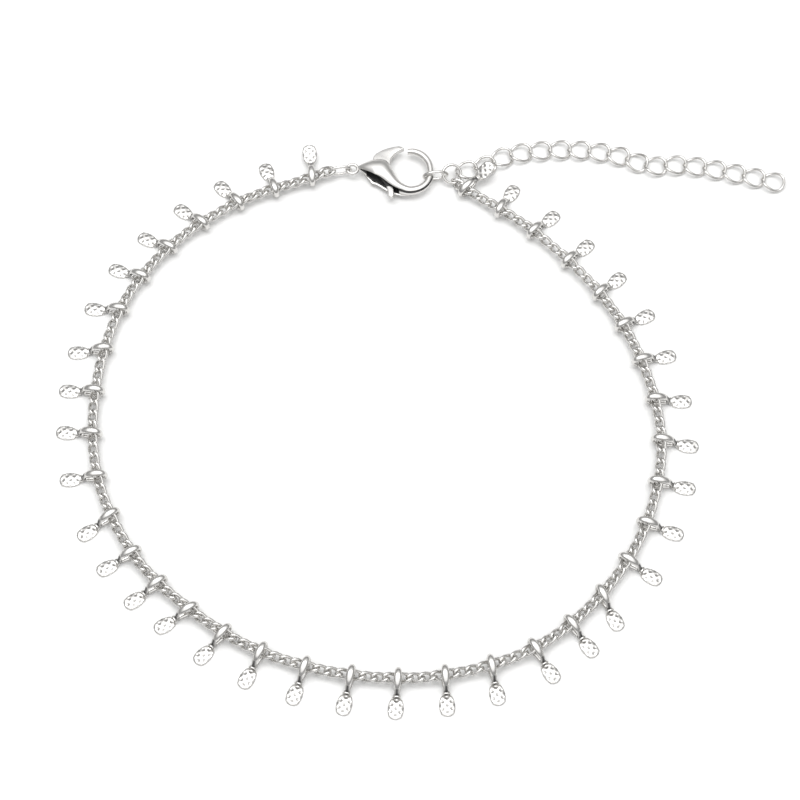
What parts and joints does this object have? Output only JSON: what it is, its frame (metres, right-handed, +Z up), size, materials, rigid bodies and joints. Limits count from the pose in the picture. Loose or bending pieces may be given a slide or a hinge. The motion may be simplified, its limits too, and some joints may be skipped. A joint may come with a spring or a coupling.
{
  "type": "chain anklet",
  "caption": "Fine curb chain anklet with small flat paddle drops on wire bails, a lobster clasp and an open link extender chain.",
  "frame": {"origin": "middle of the anklet's footprint, on the surface it lies on", "axes": "+Z up from the surface, +Y from the open loop towards the clasp, +X towards the free end of the extender"},
  "size_m": [0.097, 0.0826, 0.0027],
  "materials": {
    "chain_plating": "bright rhodium-coloured plating",
    "drop_plating": "bright plating, stamped with a fine diamond pattern",
    "clasp_plating": "polished plating"
  },
  "bodies": {
    "anklet": {"curb_chain": "chain_plating", "drop_01": "drop_plating", "drop_02": "drop_plating", "drop_03": "drop_plating", "drop_04": "drop_plating", "drop_05": "drop_plating", "drop_06": "drop_plating", "drop_07": "drop_plating", "drop_08": "drop_plating", "drop_09": "drop_plating", "drop_10": "drop_plating", "drop_11": "drop_plating", "drop_12": "drop_plating", "drop_13": "drop_plating", "drop_14": "drop_plating", "drop_15": "drop_plating", "drop_16": "drop_plating", "drop_17": "drop_plating", "drop_18": "drop_plating", "drop_19": "drop_plating", "drop_20": "drop_plating", "drop_21": "drop_plating", "drop_22": "drop_plating", "drop_23": "drop_plating", "drop_24": "drop_plating", "drop_25": "drop_plating", "drop_26": "drop_plating", "drop_27": "drop_plating", "drop_28": "drop_plating", "drop_29": "drop_plating", "drop_30": "drop_plating", "drop_31": "drop_plating", "drop_32": "drop_plating", "drop_33": "drop_plating", "drop_34": "drop_plating", "drop_35": "drop_plating", "drop_36": "drop_plating", "drop_37": "drop_plating", "clasp_body": "clasp_plating", "end_link": "chain_plating", "hook_link": "chain_plating", "jump_ring": "chain_plating", "extender_chain": "chain_plating"},
    "lever": {"clasp_lever": "clasp_plating"}
  },
  "joints": [
    {"name": "clasp_lever_swing", "type": "hinge", "parent": "anklet", "child": "lever", "pos_m": [-0.0065, 0.03629, 0.0013], "axis": [0, 0, -1], "range_deg": [0, 25], "stiffness_Nm_per_rad": 0.02}
  ]
}
